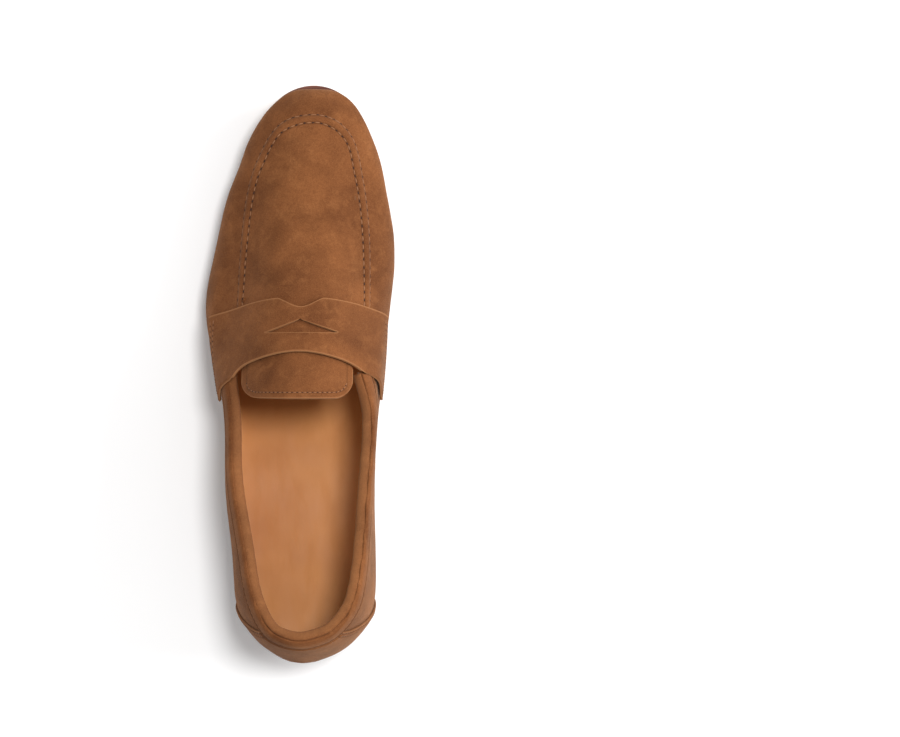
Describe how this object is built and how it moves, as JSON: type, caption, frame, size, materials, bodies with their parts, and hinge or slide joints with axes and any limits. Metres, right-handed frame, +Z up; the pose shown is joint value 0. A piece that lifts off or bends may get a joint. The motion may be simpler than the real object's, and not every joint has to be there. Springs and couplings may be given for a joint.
{
  "type": "penny loafer",
  "caption": "Slip-on leather shoe with an apron toe, a slotted saddle strap over the instep, a leather sole and a stacked heel.",
  "frame": {"origin": "on the ground, at the middle of the shoe's length and width", "axes": "+Z up, +Y from heel to toe, +X towards the medial (inner) side of this left shoe"},
  "size_m": [0.1002, 0.3029, 0.0978],
  "materials": {
    "suede": "golden-brown brushed suede with a short mottled nap",
    "lining_leather": "smooth tan vegetable-tanned lining leather, slight sheen",
    "sole_leather": "oak-bark sole leather, edge burnished reddish brown, natural tan on the underside",
    "heel_leather": "stacked leather lifts, edge waxed dark reddish brown",
    "heel_rubber": "dense black rubber, smooth and slightly worn",
    "fibreboard": "resin-stiffened fibre sheet, matt",
    "canvas": "plain-woven unbleached cotton",
    "foam": "soft closed-cell latex foam",
    "cork": "granulated cork sheet",
    "spring_steel": "plain rolled steel",
    "brass_brads": "drawn brass wire, filed flush"
  },
  "bodies": {
    "shoe": {"vamp": "suede", "apron": "suede", "saddle_strap": "suede", "collar_band": "suede", "heel_counter_cover": "suede", "quarter_lining": "lining_leather", "vamp_lining": "lining_leather", "heel_grip": "suede", "heel_counter": "fibreboard", "canvas_interlining": "canvas", "toe_puff": "fibreboard", "insole_board": "fibreboard", "heel_pad": "foam", "sock_lining": "lining_leather", "steel_shank": "spring_steel", "cork_filler": "cork", "outsole": "sole_leather", "heel_lift_1": "heel_leather", "heel_lift_2": "heel_leather", "heel_lift_3": "heel_leather", "rubber_top_piece": "heel_rubber", "leather_top_piece": "heel_leather", "heel_nails": "spring_steel", "top_piece_brads": "brass_brads"},
    "tongue": {"tongue": "suede", "tongue_lining": "lining_leather"}
  },
  "joints": [
    {"name": "tongue_lift", "type": "hinge", "parent": "shoe", "child": "tongue", "pos_m": [0.003, 0.0135, 0.0795], "axis": [-1, 0, 0], "range_deg": [-4, 18], "stiffness_Nm_per_rad": 0.03}
  ]
}
